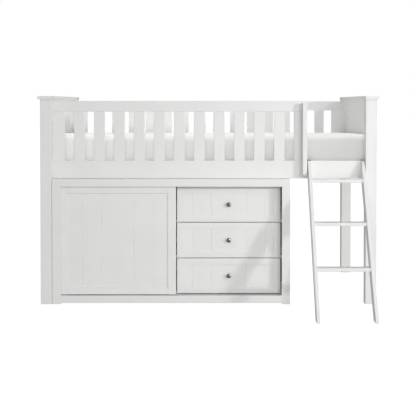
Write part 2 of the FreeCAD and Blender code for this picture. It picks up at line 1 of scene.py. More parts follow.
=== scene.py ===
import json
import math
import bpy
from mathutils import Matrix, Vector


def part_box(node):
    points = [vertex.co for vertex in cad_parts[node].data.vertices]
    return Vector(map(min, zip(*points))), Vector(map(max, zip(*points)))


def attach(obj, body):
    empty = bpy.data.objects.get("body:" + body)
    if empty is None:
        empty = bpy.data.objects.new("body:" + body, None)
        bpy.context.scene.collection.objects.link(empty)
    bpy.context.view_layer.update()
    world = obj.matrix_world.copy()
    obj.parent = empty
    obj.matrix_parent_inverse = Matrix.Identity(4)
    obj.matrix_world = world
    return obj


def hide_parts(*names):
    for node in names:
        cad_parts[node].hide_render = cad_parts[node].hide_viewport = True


bl_info = {
    "name": "Low loft bed",
    "version": (1, 0, 0),
    "blender": (4, 5, 0),
    "location": "View3D > Sidebar > Loft Bed",
    "description": "Finishes, bedding and hardware of a low loft bed with a sliding door and drawers",
    "category": "Object",
}

import bpy
from mathutils import Vector

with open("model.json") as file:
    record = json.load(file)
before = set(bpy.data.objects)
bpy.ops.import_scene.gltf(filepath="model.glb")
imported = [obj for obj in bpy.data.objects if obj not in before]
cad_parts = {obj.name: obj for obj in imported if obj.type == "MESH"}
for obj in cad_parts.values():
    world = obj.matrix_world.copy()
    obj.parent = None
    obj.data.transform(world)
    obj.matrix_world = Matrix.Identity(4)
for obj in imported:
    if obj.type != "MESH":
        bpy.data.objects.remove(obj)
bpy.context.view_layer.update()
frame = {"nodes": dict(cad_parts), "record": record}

# The photograph is square, and the camera's sensor has Blender's own width.
IMAGE_SIDE = 416
SENSOR_WIDTH = 36.0

# A wave texture of scale 1 repeats every 2 pi / 20 metres.
WAVE_LENGTH = math.tau / 20

# The colour sockets of a Mix node, whose names repeat for each kind of data.
MIX_A = 6
MIX_B = 7
MIX_RESULT = 2

# Faces that meet at less than these angles are shaded as one surface.
SMOOTH_ANGLE = math.radians(35)
DOME_SMOOTH_ANGLE = math.radians(50)

# Sides of the rounds: knobs and bolt heads, shanks, and small fastener heads.
LARGE_SIDES = 40
SHANK_SIDES = 24
SMALL_SIDES = 16

# Each ring of a domed head: its rise as a share of the height, and the share of the width it keeps.
DOME_RINGS = ((0.45, 1.0), (0.35, 0.82), (0.2, 0.55))


def linear(code):
    """An sRGB hex colour as linear red, green and blue."""
    parts = [int(code[at:at + 2], 16) / 255 for at in (1, 3, 5)]
    return tuple(p / 12.92 if p <= 0.04045 else ((p + 0.055) / 1.055) ** 2.4 for p in parts)


class LoftBedFinishes(bpy.types.PropertyGroup):
    """Colours of the bed's finishes."""

    paint: bpy.props.FloatVectorProperty(
        name="Paint", description="White satin paint on the boards",
        subtype="COLOR", min=0, max=1, default=linear("#F4F4F3"))
    pine_pale: bpy.props.FloatVectorProperty(
        name="Pine, early wood", description="Pale wood between the growth lines",
        subtype="COLOR", min=0, max=1, default=linear("#E0CDA9"))
    pine_dark: bpy.props.FloatVectorProperty(
        name="Pine, late wood", description="Growth lines of the bare pine",
        subtype="COLOR", min=0, max=1, default=linear("#C6A478"))
    cotton: bpy.props.FloatVectorProperty(
        name="Cotton", description="Fitted sheet over the mattress",
        subtype="COLOR", min=0, max=1, default=linear("#F2F2F0"))
    zinc: bpy.props.FloatVectorProperty(
        name="Zinc", description="Zinc plated bolts, nuts and track",
        subtype="COLOR", min=0, max=1, default=linear("#A9ABAC"))
    black_zinc: bpy.props.FloatVectorProperty(
        name="Black zinc", description="Blackened hooks of the ladder",
        subtype="COLOR", min=0, max=1, default=linear("#4A4A48"))
    nickel: bpy.props.FloatVectorProperty(
        name="Nickel", description="Polished drawer knobs",
        subtype="COLOR", min=0, max=1, default=linear("#BDB2A6"))
    nylon: bpy.props.FloatVectorProperty(
        name="Nylon", description="Moulded door rollers",
        subtype="COLOR", min=0, max=1, default=linear("#E3E1DA"))


class LoftBedSizes(bpy.types.PropertyGroup):
    """Sizes of the bedding and of the hardware."""

    sheet_voxel: bpy.props.FloatProperty(
        name="Sheet mesh", description="Size of one face of the mattress before smoothing",
        subtype="DISTANCE", unit="LENGTH", min=0.006, default=0.0148)
    sheet_stretch: bpy.props.FloatProperty(
        name="Sheet stretch", description="How far the sheeted ends stand out past the bare mattress",
        subtype="DISTANCE", unit="LENGTH", min=0, default=0.019)
    sheet_press: bpy.props.FloatProperty(
        name="Sheet press", description="How much of the ends' rounding the tight sheet presses flat",
        subtype="DISTANCE", unit="LENGTH", min=0, default=0.009)
    sheet_slack: bpy.props.FloatProperty(
        name="Sheet slack", description="How far the mattress may swell under its sheet",
        subtype="DISTANCE", unit="LENGTH", min=0, default=0.002)
    fold_height: bpy.props.FloatProperty(
        name="Corner folds", description="Height of the sheet's folds beside its corners",
        subtype="DISTANCE", unit="LENGTH", min=0, default=0.003)
    socket: bpy.props.FloatProperty(
        name="Bolt socket", description="Width across the flats of the bolts' hexagon sockets",
        subtype="DISTANCE", unit="LENGTH", min=0.002, default=0.006)
    screw_radius: bpy.props.FloatProperty(
        name="Screw head", description="Radius of the screw heads on the ladder's hooks",
        subtype="DISTANCE", unit="LENGTH", min=0.001, default=0.0042)
    pin_radius: bpy.props.FloatProperty(
        name="Panel pin", description="Radius of the pin heads on the storage unit's back",
        subtype="DISTANCE", unit="LENGTH", min=0.001, default=0.0022)


class LoftBedStage(bpy.types.PropertyGroup):
    """Camera, light and floor."""

    camera_place: bpy.props.FloatVectorProperty(
        name="Camera", description="Where the camera stands",
        subtype="TRANSLATION", unit="LENGTH", default=(0.0319, -5.822, 1.2335))
    camera_pitch: bpy.props.FloatProperty(
        name="Pitch", description="How far the camera looks down",
        subtype="ANGLE", unit="ROTATION", default=math.radians(1.3))
    focal_pixels: bpy.props.FloatProperty(
        name="Focal length", description="Focal length in pixels of the photograph",
        min=100, default=899.9)
    middle: bpy.props.FloatVectorProperty(
        name="Image axis", description="Pixel of the photograph that lies on the camera's axis",
        size=2, default=(213.75, 124.06))
    key_place: bpy.props.FloatVectorProperty(
        name="Key light", description="Where the key light stands, to the right of the bed",
        subtype="TRANSLATION", unit="LENGTH", default=(4.0, -3.1, 1.75))
    key_power: bpy.props.FloatProperty(
        name="Key power", description="Strength of the key light",
        subtype="POWER", unit="POWER", min=0, default=63)
    front_place: bpy.props.FloatVectorProperty(
        name="Front light", description="Where the second light stands, nearer to the camera",
        subtype="TRANSLATION", unit="LENGTH", default=(2.5, -5.3, 2.25))
    front_power: bpy.props.FloatProperty(
        name="Front power", description="Strength of the second light",
        subtype="POWER", unit="POWER", min=0, default=5.2)
    front_spread: bpy.props.FloatProperty(
        name="Front spread", description="How wide a grid lets the second light shine",
        subtype="ANGLE", unit="ROTATION", min=0.1, max=math.pi, default=math.radians(60))
    light_aim: bpy.props.FloatVectorProperty(
        name="Aim", description="Point at which the lights are aimed",
        subtype="TRANSLATION", unit="LENGTH", default=(0.2, -0.3, 0.7))
    light_size: bpy.props.FloatProperty(
        name="Light size", description="Width of the key and front lights, which softens shadow edges",
        subtype="DISTANCE", unit="LENGTH", min=0.01, default=0.3)
    overhead: bpy.props.FloatProperty(
        name="Light from above", description="Strength of the room's light straight down",
        min=0, default=0.57)
    around: bpy.props.FloatProperty(
        name="Light from around", description="Strength of the room's light from the sides",
        min=0, default=0.674)
    below: bpy.props.FloatProperty(
        name="Light from below", description="Strength of the light that a pale floor would throw up",
        min=0, default=0.35)
    aside: bpy.props.FloatProperty(
        name="Share from the ends", description="Share of the room's light that comes along the bed",
        min=0, default=0.4)
    ahead: bpy.props.FloatProperty(
        name="Share from front and back",
        description="Share of the room's light that comes across the bed",
        min=0, default=1.31)
    mirrored: bpy.props.FloatProperty(
        name="Share in reflections", description="Share of the room's light that reflections show",
        min=0, max=1, default=0.35)
    bedding_place: bpy.props.FloatVectorProperty(
        name="Bedding light", description="Where the light stands that falls on the bedding alone",
        subtype="TRANSLATION", unit="LENGTH", default=(0, 0.1, 4.1))
    bedding_power: bpy.props.FloatProperty(
        name="Bedding power", description="Strength of the bedding's own light",
        subtype="POWER", unit="POWER", min=0, default=55)
    bedding_size: bpy.props.FloatProperty(
        name="Bedding light size", description="Width of the bedding's own light",
        subtype="DISTANCE", unit="LENGTH", min=0.01, default=2.4)
    sheet_place: bpy.props.FloatVectorProperty(
        name="Sheet light", description="Where the light stands that falls on the sheet from in front",
        subtype="TRANSLATION", unit="LENGTH", default=(-1.6, -3.1, 1.6))
    sheet_power: bpy.props.FloatProperty(
        name="Sheet power", description="Strength of the light on the sheet from in front",
        subtype="POWER", unit="POWER", min=0, default=26)
    floor_glow: bpy.props.FloatProperty(
        name="Floor glow", description="Light that the white floor gives of itself",
        min=0, default=0.83)


def add(tree, kind, settings=None, inputs=None):
    """Adds one node with its own settings, and with its inputs set or linked."""
    node = tree.nodes.new(kind)
    for name, value in (settings or {}).items():
        setattr(node, name, value)
    for name, value in (inputs or {}).items():
        if isinstance(value, bpy.types.NodeSocket):
            tree.links.new(value, node.inputs[name])
        else:
            node.inputs[name].default_value = value
    return node


def start_material(name, colour, roughness, metallic=0.0):
    """A new material's node tree and shader, with the surface's even values on the shader."""
    material = bpy.data.materials.new(name)
    material.use_nodes = True
    tree = material.node_tree
    shader = tree.nodes["Principled BSDF"]
    shader.inputs["Base Color"].default_value = (*colour, 1)
    shader.inputs["Roughness"].default_value = roughness
    shader.inputs["Metallic"].default_value = metallic
    return material, tree, shader


def shaded(colour, share):
    """The colour made darker or lighter by a share, with full alpha."""
    return (*[min(1.0, part * share) for part in colour], 1)


def satin_white_paint(colour):
    """Sprayed satin lacquer on primed board."""
    # An even white with a soft sheen. The ripple that spraying leaves is about 2 mm across, drawn
    # at 9 mm to show, and the film dulls and shines in patches of some 150 mm.
    material, tree, shader = start_material("satin_white_paint", colour, 0.4)
    place = add(tree, "ShaderNodeTexCoord").outputs["Object"]
    patches = add(tree, "ShaderNodeTexNoise", inputs={"Vector": place, "Scale": 1 / 0.15, "Detail": 3})
    tint = add(tree, "ShaderNodeMix", {"data_type": "RGBA"}, {
        "Factor": patches.outputs["Fac"], MIX_A: shaded(colour, 0.965), MIX_B: shaded(colour, 1.03)})
    sheen = add(tree, "ShaderNodeMapRange",
                inputs={"Value": patches.outputs["Fac"], "To Min": 0.33, "To Max": 0.49})
    ripple = add(tree, "ShaderNodeTexNoise", inputs={"Vector": place, "Scale": 1 / 0.009, "Detail": 2})
    bump = add(tree, "ShaderNodeBump",
               inputs={"Height": ripple.outputs["Fac"], "Strength": 0.3, "Distance": 0.0004})
    tree.links.new(tint.outputs[MIX_RESULT], shader.inputs["Base Color"])
    tree.links.new(sheen.outputs["Result"], shader.inputs["Roughness"])
    tree.links.new(bump.outputs["Normal"], shader.inputs["Normal"])
    return material


def bare_pine(name, pale, dark, turn):
    """Planed pine whose grain runs along X before the turn about Z."""
    # Unfinished softwood: pale early wood, narrow darker late wood lines that wander along the
    # board, and fine fibres. Growth lines are about 4 mm apart, drawn at 8 mm to show.
    material, tree, shader = start_material(name, pale, 0.62)
    place = add(tree, "ShaderNodeTexCoord").outputs["Object"]
    along = add(tree, "ShaderNodeMapping", inputs={"Vector": place, "Rotation": (0, 0, turn)})
    drawn = add(tree, "ShaderNodeMapping", inputs={
        "Vector": along.outputs["Vector"], "Scale": (0.07, 1, 1), "Location": (0, 0.11, 0.13)})
    rings = add(tree, "ShaderNodeTexWave",
                {"wave_type": "RINGS", "rings_direction": "X", "wave_profile": "SAW"},
                {"Vector": drawn.outputs["Vector"], "Scale": WAVE_LENGTH / 0.008, "Distortion": 5,
                 "Detail": 2, "Detail Scale": 0.35})
    ramp = add(tree, "ShaderNodeValToRGB", inputs={"Fac": rings.outputs["Fac"]})
    ramp.color_ramp.elements[0].color = (*pale, 1)
    ramp.color_ramp.elements[1].color = (*pale, 1)
    for position, share in ((0.6, 0.25), (0.86, 0.85)):
        stop = ramp.color_ramp.elements.new(position)
        stop.color = (*[p + (d - p) * share for p, d in zip(pale, dark)], 1)
    fibre_place = add(tree, "ShaderNodeMapping",
                      inputs={"Vector": along.outputs["Vector"], "Scale": (0.03, 1, 1)})
    fibres = add(tree, "ShaderNodeTexNoise",
                 inputs={"Vector": fibre_place.outputs["Vector"], "Scale": 1 / 0.0025, "Detail": 4})
    streaks = add(tree, "ShaderNodeMapRange",
                  inputs={"Value": fibres.outputs["Fac"], "To Min": 0.86, "To Max": 1.1})
    tint = add(tree, "ShaderNodeMix", {"data_type": "RGBA", "blend_type": "MULTIPLY"},
               {"Factor": 1.0, MIX_A: ramp.outputs["Color"], MIX_B: streaks.outputs["Result"]})
    dull = add(tree, "ShaderNodeMapRange",
               inputs={"Value": rings.outputs["Fac"], "To Min": 0.68, "To Max": 0.52})
    bump = add(tree, "ShaderNodeBump",
               inputs={"Height": fibres.outputs["Fac"], "Strength": 0.35, "Distance": 0.0004})
    tree.links.new(tint.outputs[MIX_RESULT], shader.inputs["Base Color"])
    tree.links.new(dull.outputs["Result"], shader.inputs["Roughness"])
    tree.links.new(bump.outputs["Normal"], shader.inputs["Normal"])
    return material


def percale_cotton(colour):
    """Plain woven cotton of the fitted sheet."""
    # Matt white cloth with a faint bloom at grazing angles. Threads are about 0.3 mm apart, drawn
    # at 5 mm to show; ironing leaves shallow waves some 110 mm across.
    material, tree, shader = start_material("percale_cotton", colour, 0.88)
    shader.inputs["Sheen Weight"].default_value = 0.1
    shader.inputs["Sheen Roughness"].default_value = 0.45
    place = add(tree, "ShaderNodeTexCoord").outputs["Object"]
    threads = None
    for axis in "XYZ":
        wave = add(tree, "ShaderNodeTexWave", {"bands_direction": axis},
                   {"Vector": place, "Scale": WAVE_LENGTH / 0.005, "Distortion": 0.6, "Detail": 1})
        if threads is None:
            threads = wave.outputs["Fac"]
        else:
            threads = add(tree, "ShaderNodeMath", {"operation": "ADD"},
                          {0: threads, 1: wave.outputs["Fac"]}).outputs["Value"]
    waves = add(tree, "ShaderNodeTexNoise", inputs={"Vector": place, "Scale": 1 / 0.11, "Detail": 2})
    soft = add(tree, "ShaderNodeBump",
               inputs={"Height": waves.outputs["Fac"], "Strength": 0.35, "Distance": 0.006})
    weave = add(tree, "ShaderNodeBump", inputs={
        "Height": threads, "Strength": 0.3, "Distance": 0.0005, "Normal": soft.outputs["Normal"]})
    tint = add(tree, "ShaderNodeMix", {"data_type": "RGBA"},
               {"Factor": waves.outputs["Fac"], MIX_A: shaded(colour, 0.96), MIX_B: shaded(colour, 1.03)})
    tree.links.new(tint.outputs[MIX_RESULT], shader.inputs["Base Color"])
    tree.links.new(weave.outputs["Normal"], shader.inputs["Normal"])
    return material


def zinc_plated_steel(name, colour):
    """Zinc, bright or blackened, on pressed and turned steel."""
    # A cool metal, cloudy from the plating bath, in patches of about 12 mm.
    material, tree, shader = start_material(name, colour, 0.36, 1.0)
    place = add(tree, "ShaderNodeTexCoord").outputs["Object"]
    cloud = add(tree, "ShaderNodeTexNoise", inputs={"Vector": place, "Scale": 1 / 0.012, "Detail": 4})
    tint = add(tree, "ShaderNodeMix", {"data_type": "RGBA"},
               {"Factor": cloud.outputs["Fac"], MIX_A: shaded(colour, 0.86), MIX_B: shaded(colour, 1.1)})
    sheen = add(tree, "ShaderNodeMapRange",
                inputs={"Value": cloud.outputs["Fac"], "To Min": 0.26, "To Max": 0.48})
    tree.links.new(tint.outputs[MIX_RESULT], shader.inputs["Base Color"])
    tree.links.new(sheen.outputs["Result"], shader.inputs["Roughness"])
    return material


def polished_nickel(colour):
    """Turned and polished nickel plated knobs."""
    # A warm shine with the faintest rings left by turning, 0.4 mm apart on the real knob and drawn
    # at 1.2 mm, dulled in smears by handling.
    material, tree, shader = start_material("polished_nickel", colour, 0.26, 1.0)
    place = add(tree, "ShaderNodeTexCoord").outputs["Object"]
    smear = add(tree, "ShaderNodeTexNoise", inputs={"Vector": place, "Scale": 1 / 0.009, "Detail": 3})
    sheen = add(tree, "ShaderNodeMapRange",
                inputs={"Value": smear.outputs["Fac"], "To Min": 0.18, "To Max": 0.36})
    rings = add(tree, "ShaderNodeTexWave", {"bands_direction": "Y"},
                {"Vector": place, "Scale": WAVE_LENGTH / 0.0012})
    bump = add(tree, "ShaderNodeBump",
               inputs={"Height": rings.outputs["Fac"], "Strength": 0.05, "Distance": 0.0001})
    tree.links.new(sheen.outputs["Result"], shader.inputs["Roughness"])
    tree.links.new(bump.outputs["Normal"], shader.inputs["Normal"])
    return material


def moulded_nylon(colour):
    """Moulded nylon rollers."""
    # Off-white plastic with a fine matt grain of about 0.5 mm, drawn at 2 mm.
    material, tree, shader = start_material("moulded_nylon", colour, 0.5)
    place = add(tree, "ShaderNodeTexCoord").outputs["Object"]
    grain = add(tree, "ShaderNodeTexNoise", inputs={"Vector": place, "Scale": 1 / 0.002, "Detail": 2})
    tint = add(tree, "ShaderNodeMix", {"data_type": "RGBA"},
               {"Factor": grain.outputs["Fac"], MIX_A: shaded(colour, 0.93), MIX_B: shaded(colour, 1.04)})
    bump = add(tree, "ShaderNodeBump",
               inputs={"Height": grain.outputs["Fac"], "Strength": 0.2, "Distance": 0.0002})
    tree.links.new(tint.outputs[MIX_RESULT], shader.inputs["Base Color"])
    tree.links.new(bump.outputs["Normal"], shader.inputs["Normal"])
    return material


def finish(name):
    """The material of that finish, made the first time that it is asked for."""
    colours = bpy.context.scene.loft_bed_finishes
    makers = {
        "satin_white_paint": lambda: satin_white_paint(colours.paint),
        "bare_pine_lengthwise": lambda: bare_pine(name, colours.pine_pale, colours.pine_dark, 0),
        "bare_pine_crosswise": lambda: bare_pine(name, colours.pine_pale, colours.pine_dark, math.pi / 2),
        "percale_cotton": lambda: percale_cotton(colours.cotton),
        "zinc_plated_steel": lambda: zinc_plated_steel(name, colours.zinc),
        "black_zinc_steel": lambda: zinc_plated_steel(name, colours.black_zinc),
        "polished_nickel": lambda: polished_nickel(colours.nickel),
        "moulded_nylon": lambda: moulded_nylon(colours.nylon),
    }
    return bpy.data.materials.get(name) or makers[name]()


def clear_selection():
    """Leaves nothing selected and no object in edit mode."""
    active = bpy.context.view_layer.objects.active
    if active is not None and active.mode != "OBJECT":
        bpy.ops.object.mode_set(mode="OBJECT")
    bpy.ops.object.select_all(action="DESELECT")


def only(piece):
    """Selects one object and makes it the active one."""
    clear_selection()
    piece.select_set(True)
    bpy.context.view_layer.objects.active = piece


def apply_modifier(piece, kind, **settings):
    """Adds a modifier with its settings and applies it."""
    only(piece)
    modifier = piece.modifiers.new(kind.title(), kind)
    for name, value in settings.items():
        setattr(modifier, name, value)
    bpy.ops.object.modifier_apply(modifier=modifier.name)


def settle(piece, name, body, material=None):
    """Puts a piece's place into its mesh, names it, and gives it its finish and its body."""
    only(piece)
    bpy.ops.object.transform_apply(location=True, rotation=True, scale=True)
    piece.name = name
    piece.data.name = name
    if material is not None:
        piece.data.materials.clear()
        piece.data.materials.append(finish(material))
    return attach(piece, body)


def tidy_mesh(piece):
    """Merges doubled points and turns every face outwards."""
    only(piece)
    bpy.ops.object.mode_set(mode="EDIT")
    bpy.ops.mesh.select_all(action="SELECT")
    bpy.ops.mesh.remove_doubles(threshold=1e-6)
    bpy.ops.mesh.normals_make_consistent(inside=False)
    bpy.ops.object.mode_set(mode="OBJECT")


def joined(pieces):
    """Several pieces made into one mesh."""
    clear_selection()
    for piece in pieces:
        piece.select_set(True)
    bpy.context.view_layer.objects.active = pieces[0]
    bpy.ops.object.join()
    return pieces[0]


def copied(piece, place, turn=0.0):
    """A copy with its own mesh, turned about Z and then moved to a place."""
    clear_selection()
    copy = piece.copy()
    copy.data = piece.data.copy()
    bpy.context.scene.collection.objects.link(copy)
    copy.rotation_euler = (0, 0, turn)
    copy.location = place
    only(copy)
    bpy.ops.object.transform_apply(location=True, rotation=True, scale=True)
    return copy


class LOFTBED_OT_finish_boards(bpy.types.Operator):
    """Give every board and fitting of the frame its finish"""

    bl_idname = "loftbed.finish_boards"
    bl_label = "Finish Boards and Fittings"

    def execute(self, context):
        slots = {
            "white_paint": "satin_white_paint",
            "bare_pine": "bare_pine_crosswise",
            "cotton_sheet": "percale_cotton",
            "steel": "zinc_plated_steel",
            "polished_knob": "polished_nickel",
            "nylon": "moulded_nylon",
        }
        apart = {"slat_cleats": "bare_pine_lengthwise", "ladder_hooks": "black_zinc_steel"}
        for row in frame["record"]["subparts"]:
            name = apart.get(row["node"]) or slots[row["material_slot"]]
            frame["nodes"][row["node"]].material_slots[0].material = finish(name)
        return {"FINISHED"}


class LOFTBED_OT_mattress(bpy.types.Operator):
    """Swell the mattress under its fitted sheet"""

    bl_idname = "loftbed.mattress"
    bl_label = "Sheeted Mattress"

    # The slats hold the underside still up to this height above its lowest point.
    held_height = 0.02
    # The cloth's steps in a frame, its pressure and its frames.
    cloth_quality = 4
    cloth_pressure = 4
    cloth_frames = 20
    # How far a corner's folds reach, their waves in a turn about the corner and their slant in
    # radians per metre of height. They start a little away from the corner and the underside.
    fold_reach = 0.16
    fold_waves = 9
    fold_slant = 14
    fold_start = 0.03

    def execute(self, context):
        sizes = context.scene.loft_bed_sizes
        low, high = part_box("mattress")
        piece = frame["nodes"]["mattress"].copy()
        piece.data = piece.data.copy()
        for key in list(piece.keys()):
            del piece[key]
        piece.parent = None
        context.scene.collection.objects.link(piece)
        tidy_mesh(piece)
        bpy.ops.object.mode_set(mode="EDIT")
        bpy.ops.mesh.select_all(action="SELECT")
        bpy.ops.transform.shrink_fatten(value=-sizes.sheet_slack / 2)
        longer = 1 + 2 * (sizes.sheet_stretch + sizes.sheet_press) / (high.x - low.x)
        bpy.ops.transform.resize(value=(longer, 1, 1), center_override=(low + high) / 2)
        bpy.ops.object.mode_set(mode="OBJECT")
        low.x -= sizes.sheet_stretch
        high.x += sizes.sheet_stretch
        piece.data.remesh_voxel_size = sizes.sheet_voxel
        bpy.ops.object.voxel_remesh()
        self.swell(context, piece, low)
        self.fold_corners(piece, low, high)
        apply_modifier(piece, "SUBSURF", levels=1, render_levels=1)
        self.keep_inside(piece, low, high)
        only(piece)
        bpy.ops.object.shade_smooth()
        settle(piece, "sheeted_mattress", "bed", "percale_cotton")
        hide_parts("mattress")
        return {"FINISHED"}

    def swell(self, context, piece, low):
        """Runs the cloth under pressure, with the underside held, and caps how far it moves."""
        rest = [vertex.co.copy() for vertex in piece.data.vertices]
        held = piece.vertex_groups.new(name="underside")
        held.add([at for at, co in enumerate(rest) if co.z < low.z + self.held_height], 1.0, "ADD")
        cloth = piece.modifiers.new("Cloth", "CLOTH")
        cloth.settings.quality = self.cloth_quality
        cloth.settings.vertex_group_mass = held.name
        cloth.settings.use_pressure = True
        cloth.settings.uniform_pressure_force = self.cloth_pressure
        cloth.settings.effector_weights.gravity = 0
        cloth.point_cache.frame_start = 1
        cloth.point_cache.frame_end = self.cloth_frames
        for number in range(1, self.cloth_frames + 1):
            context.scene.frame_set(number)
        only(piece)
        bpy.ops.object.modifier_apply(modifier=cloth.name)
        cap = context.scene.loft_bed_sizes.sheet_slack
        for vertex, start in zip(piece.data.vertices, rest):
            moved = vertex.co - start
            if moved.length > cap:
                vertex.co = start + moved * (cap / moved.length)
        context.scene.frame_set(1)

    def fold_corners(self, piece, low, high):
        """Raises the shallow folds that a fitted sheet pulls from its corners."""
        height = bpy.context.scene.loft_bed_sizes.fold_height
        normals = [vertex.normal.copy() for vertex in piece.data.vertices]
        for vertex, normal in zip(piece.data.vertices, normals):
            co = vertex.co
            near_x = min(co.x - low.x, high.x - co.x)
            near_y = min(co.y - low.y, high.y - co.y)
            away = math.hypot(near_x, near_y)
            if away > 3 * self.fold_reach or co.z < low.z + self.fold_start:
                continue
            angle = math.atan2(near_y, near_x)
            fade = math.exp(-(away / self.fold_reach) ** 2) * min(1.0, away / self.fold_start)
            wave = math.sin(self.fold_waves * angle + self.fold_slant * (co.z - high.z))
            vertex.co += normal * height * fade * wave

    def keep_inside(self, piece, low, high):
        """Holds every point within the bare mattress's box, lengthened by the sheet's stretch."""
        for vertex in piece.data.vertices:
            vertex.co = [min(max(c, a), b) for c, a, b in zip(vertex.co, low, high)]


class LOFTBED_OT_knobs(bpy.types.Operator):
    """Turn the three drawer knobs"""

    bl_idname = "loftbed.knobs"
    bl_label = "Drawer Knobs"

    # Radius and distance from the drawer front, in millimetres, from the base to the top of the head.
    profile = (
        (9.0, 1.2), (8.7, 1.9), (7.9, 2.4), (6.3, 2.8), (5.8, 3.5), (5.5, 4.8), (5.9, 6.4), (7.6, 8.8),
        (10.6, 11.2), (13.3, 13.0), (14.3, 14.0), (14.5, 15.0), (14.2, 16.3), (13.0, 18.0), (10.6, 19.8),
        (7.2, 21.2), (3.6, 21.85), (1.2, 22.0),
    )

    def execute(self, context):
        for drawer in ("top", "middle", "bottom"):
            node = drawer + "_drawer_knob"
            low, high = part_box(node)
            seat = Vector(((low.x + high.x) / 2, high.y, (low.z + high.z) / 2))
            knob = self.turned(seat)
            settle(knob, drawer + "_nickel_knob", drawer + "_drawer", "polished_nickel")
            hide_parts(node)
        return {"FINISHED"}

    def turned(self, seat):
        """One knob, drawn out ring by ring from its base."""
        clear_selection()
        radius = self.profile[0][0]
        bpy.ops.mesh.primitive_circle_add(
            vertices=LARGE_SIDES, radius=radius / 1000, fill_type="NGON",
            location=seat, rotation=(math.pi / 2, 0, 0))
        knob = bpy.context.object
        bpy.ops.object.mode_set(mode="EDIT")
        bpy.ops.mesh.select_all(action="SELECT")
        out = 0.0
        for ring, distance in self.profile:
            step = (distance - out) / 1000
            bpy.ops.mesh.extrude_region_move(TRANSFORM_OT_translate={"value": (0, -step, 0)})
            centre = (seat.x, seat.y - distance / 1000, seat.z)
            bpy.ops.transform.resize(value=(ring / radius, 1, ring / radius), center_override=centre)
            radius = ring
            out = distance
        bpy.ops.object.mode_set(mode="OBJECT")
        tidy_mesh(knob)
        apply_modifier(knob, "SUBSURF", levels=1, render_levels=1)
        only(knob)
        bpy.ops.object.shade_smooth()
        return knob


def socket_bolt(head_radius, head_height, shank_radius, shank_length, socket, depth):
    """A bolt along X with its head's end at the origin, a hexagon socket in it and a rounded rim."""
    rim = head_height / 14
    tip = shank_radius / 5
    clear_selection()
    bpy.ops.mesh.primitive_cylinder_add(
        vertices=LARGE_SIDES, radius=head_radius, depth=head_height,
        location=(-head_height / 2, 0, 0), rotation=(0, math.pi / 2, 0))
    head = bpy.context.object
    bpy.ops.object.transform_apply(location=True, rotation=True, scale=True)
    bpy.ops.mesh.primitive_cylinder_add(
        vertices=6, radius=socket / math.sqrt(3), depth=2 * depth,
        location=(0, 0, 0), rotation=(0, math.pi / 2, 0))
    cutter = bpy.context.object
    bpy.ops.object.transform_apply(location=True, rotation=True, scale=True)
    apply_modifier(head, "BOOLEAN", operation="DIFFERENCE", object=cutter, solver="EXACT")
    bpy.data.objects.remove(cutter)
    apply_modifier(head, "BEVEL", width=rim, segments=2, limit_method="ANGLE")
    clear_selection()
    bpy.ops.mesh.primitive_cylinder_add(
        vertices=SHANK_SIDES, radius=shank_radius, depth=shank_length,
        location=(-head_height - shank_length / 2, 0, 0), rotation=(0, math.pi / 2, 0))
    shank = bpy.context.object
    bpy.ops.object.transform_apply(location=True, rotation=True, scale=True)
    apply_modifier(shank, "BEVEL", width=tip, segments=2, limit_method="ANGLE")
    bolt = joined([head, shank])
    bpy.ops.object.shade_smooth_by_angle(angle=SMOOTH_ANGLE)
    return bolt


class LOFTBED_OT_rail_bolts(bpy.types.Operator):
    """Set the socket bolts that hold the side rails"""

    bl_idname = "loftbed.rail_bolts"
    bl_label = "Rail Bolts"

    head_height = 0.008
    shank_radius = 0.004
    socket_depth = 0.005
    # How far a shank reaches past the near face of its nut.
    past_nut = 0.02

    def execute(self, context):
        low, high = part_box("rail_bolts")
        nut_low, nut_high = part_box("rail_barrel_nuts")
        radius = (high.z - low.z) / 2
        shank = high.x - self.head_height - nut_high.x + self.past_nut
        socket = context.scene.loft_bed_sizes.socket
        bolt = socket_bolt(radius, self.head_height, self.shank_radius, shank, socket, self.socket_depth)
        middle = (low.z + high.z) / 2
        bolts = []
        for x, turn in ((high.x, 0.0), (low.x, math.pi)):
            for y in (low.y + radius, high.y - radius):
                bolts.append(copied(bolt, (x, y, middle), turn))
        bpy.data.objects.remove(bolt)
        dressed = joined(bolts)
        settle(dressed, "rail_socket_bolts", "bed", "zinc_plated_steel")
        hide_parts("rail_bolts")
        return {"FINISHED"}


def round_head(radius, height):
    """A low domed fastener head standing on the origin, facing up."""
    clear_selection()
    bpy.ops.mesh.primitive_circle_add(vertices=SMALL_SIDES, radius=radius, fill_type="NGON")
    head = bpy.context.object
    bpy.ops.object.mode_set(mode="EDIT")
    bpy.ops.mesh.select_all(action="SELECT")
    for rise, share in DOME_RINGS:
        bpy.ops.mesh.extrude_region_move(TRANSFORM_OT_translate={"value": (0, 0, height * rise)})
        bpy.ops.transform.resize(value=(share, share, 1), center_override=(0, 0, 0))
    bpy.ops.object.mode_set(mode="OBJECT")
    tidy_mesh(head)
    bpy.ops.object.shade_smooth_by_angle(angle=DOME_SMOOTH_ANGLE)
    return head


